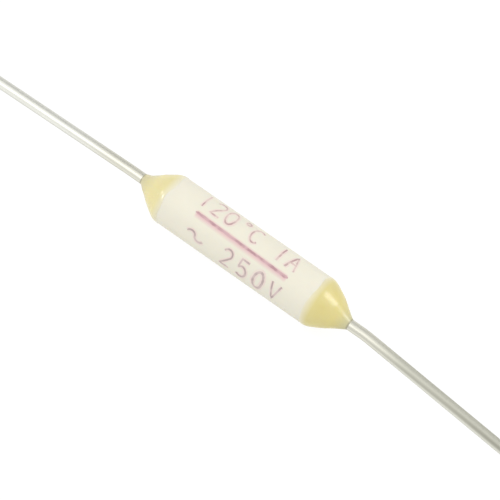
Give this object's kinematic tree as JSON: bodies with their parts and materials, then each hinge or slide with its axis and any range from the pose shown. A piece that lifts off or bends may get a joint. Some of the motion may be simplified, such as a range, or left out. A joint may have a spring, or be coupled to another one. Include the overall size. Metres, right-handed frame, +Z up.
{
  "type": "thermal fuse",
  "caption": "Axial thermal fuse: a white ceramic tube closed by pale yellow resin seals, with a tinned copper lead out of each end and a fusible alloy link inside.",
  "frame": {"origin": "middle of the ceramic tube, on its axis", "axes": "+X along the tube's axis towards the longer resin seal, -Y the side towards which the leads are bent, +Z up"},
  "size_m": [0.0818, 0.0045, 0.0026],
  "materials": {
    "ceramic": "matte",
    "resin": "gloss",
    "tinned_copper": "satin",
    "fusible_alloy": "satin",
    "flux": "gloss",
    "ink": "matte"
  },
  "bodies": {
    "root": {"ceramic_tube": "ceramic", "left_seal": "resin", "right_seal": "resin", "left_lead": "tinned_copper", "right_lead": "tinned_copper", "fusible_link": "fusible_alloy", "flux_coat": "flux", "print_stripe": "ink"}
  },
  "joints": []
}
